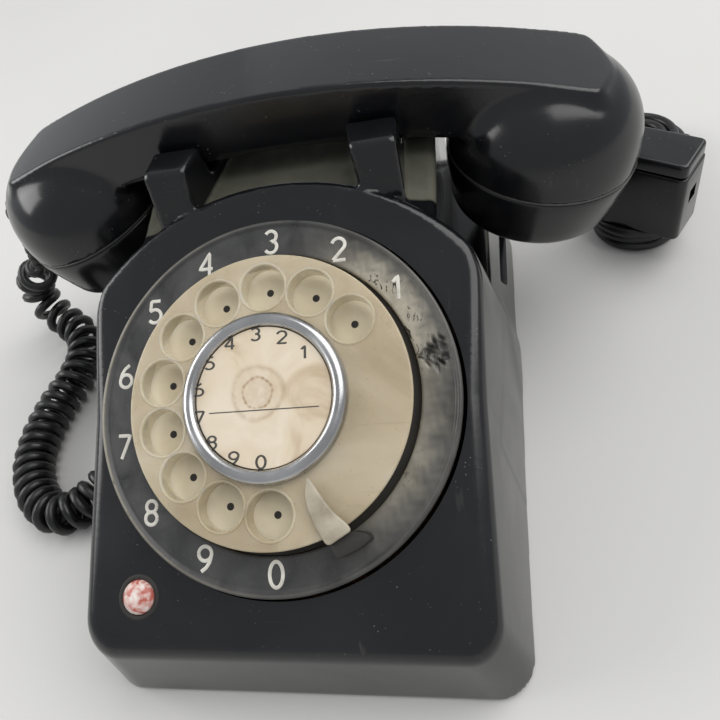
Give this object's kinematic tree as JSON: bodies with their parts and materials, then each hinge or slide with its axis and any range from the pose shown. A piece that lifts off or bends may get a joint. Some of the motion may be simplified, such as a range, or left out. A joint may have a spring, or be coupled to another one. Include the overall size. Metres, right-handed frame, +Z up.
{
  "type": "rotary telephone",
  "caption": "Compact desk telephone with rotary dial, cradled handset, curly handset cord, recall button, and a line cord folded beside it with its plug.",
  "frame": {"origin": "on the table, under the centre of the telephone's bounding box, cords left out", "axes": "+X to the telephone's right as seen from the front, +Y to the rear, +Z up; the dial faces -Y and up"},
  "size_m": [0.3111, 0.2589, 0.1181],
  "materials": {
    "black_plastic": "black moulded plastic, satin gloss with fine scratches",
    "ring_plastic": "black dial ring, worn grey and dusty, white figures",
    "ivory_plastic": "yellowed translucent ivory plastic",
    "beige_plate": "beige painted plate with dark dots",
    "stop_grey": "worn grey-beige enamel",
    "chrome": "polished plated ring",
    "card": "stained cream paper card",
    "clear_cover": "clear scratched cover",
    "steel": "plain steel",
    "brass": "plain brass",
    "copper": "varnished copper winding",
    "aluminium": "drawn aluminium can",
    "phenolic": "brown phenolic board",
    "board": "laminate circuit board",
    "rubber": "black rubber",
    "cord_pvc": "black vinyl cord",
    "button_red": "red button worn through to white"
  },
  "bodies": {
    "root": {"housing": "black_plastic", "base_plate": "phenolic", "foot_front_left": "rubber", "foot_front_right": "rubber", "foot_rear_left": "rubber", "foot_rear_right": "rubber", "base_screw_front": "steel", "base_screw_rear": "steel", "number_ring": "ring_plastic", "dial_plate": "beige_plate", "dial_frame": "steel", "finger_stop": "stop_grey", "governor_cup": "brass", "return_spring": "steel", "pulse_contacts": "phenolic", "button_bush": "steel", "recall_switch": "phenolic", "hook_frame": "steel", "hook_contacts": "phenolic", "ringer_frame": "steel", "ringer_coil_left": "copper", "ringer_coil_right": "copper", "gong_left": "brass", "gong_right": "brass", "circuit_board": "board", "capacitor": "aluminium", "induction_coil": "copper", "terminal_block": "phenolic", "handset_gland": "rubber", "line_gland": "rubber", "curly_cord": "cord_pvc", "line_cord": "cord_pvc", "line_hank": "cord_pvc", "plug_lead": "cord_pvc", "plug_body": "black_plastic", "plug_lid": "black_plastic", "plug_pin_1": "brass", "plug_pin_2": "brass", "plug_pin_3": "brass"},
    "dial_rotor": {"finger_wheel": "ivory_plastic", "hub_ring": "chrome", "label_card": "card", "label_cover": "clear_cover", "dial_shaft": "steel", "main_gear": "brass", "pulse_cam": "phenolic"},
    "governor": {"governor_rotor": "steel"},
    "button": {"recall_button": "button_red"},
    "hook_plungers": {"hook_plunger_left": "black_plastic", "hook_plunger_right": "black_plastic"},
    "hook_lever": {"hook_lever": "steel"},
    "clapper": {"clapper": "steel"},
    "handset": {"handset_shell": "black_plastic", "mouth_cap": "black_plastic", "ear_cap": "black_plastic", "transmitter": "steel", "receiver": "steel", "handset_relief": "rubber"}
  },
  "joints": [
    {"name": "dial_turn", "type": "hinge", "parent": "root", "child": "dial_rotor", "pos_m": [0, -0.0355, 0.0686], "axis": [0, -0.4368, 0.8996], "range_deg": [-326, 0], "stiffness_Nm_per_rad": 0.004, "springref_deg": 22.92},
    {"name": "governor_turn", "type": "hinge", "parent": "root", "child": "governor", "pos_m": [0, -0.00063, 0.0633], "axis": [0, -0.4368, 0.8996], "range_deg": [-5, 1640]},
    {"name": "recall_press", "type": "slide", "parent": "root", "child": "button", "axis": [0, 0.4368, -0.8996], "range_m": [0, 0.0025], "stiffness_N_per_m": 300, "springref_m": -0.0015},
    {"name": "handset_lift", "type": "slide", "parent": "root", "child": "handset", "axis": [0, 0, 1], "range_m": [0, 0.15]},
    {"name": "hook_rise", "type": "slide", "parent": "root", "child": "hook_plungers", "axis": [0, 0, 1], "range_m": [0, 0.0046]},
    {"name": "hook_lever_turn", "type": "hinge", "parent": "root", "child": "hook_lever", "pos_m": [0, 0.0345, 0.08], "axis": [1, 0, 0], "range_deg": [0, 11.5]},
    {"name": "clapper_swing", "type": "hinge", "parent": "root", "child": "clapper", "pos_m": [0, 0.0565, 0.02], "axis": [0, 1, 0], "range_deg": [-7, 7], "stiffness_Nm_per_rad": 0.02}
  ],
  "couplings": [
    {"joint": "governor_turn", "follows": "dial_turn", "ratio": -5},
    {"joint": "hook_rise", "follows": "handset_lift", "ratio": 0.03},
    {"joint": "hook_lever_turn", "follows": "handset_lift", "rad_per_m": 1.26}
  ]
}
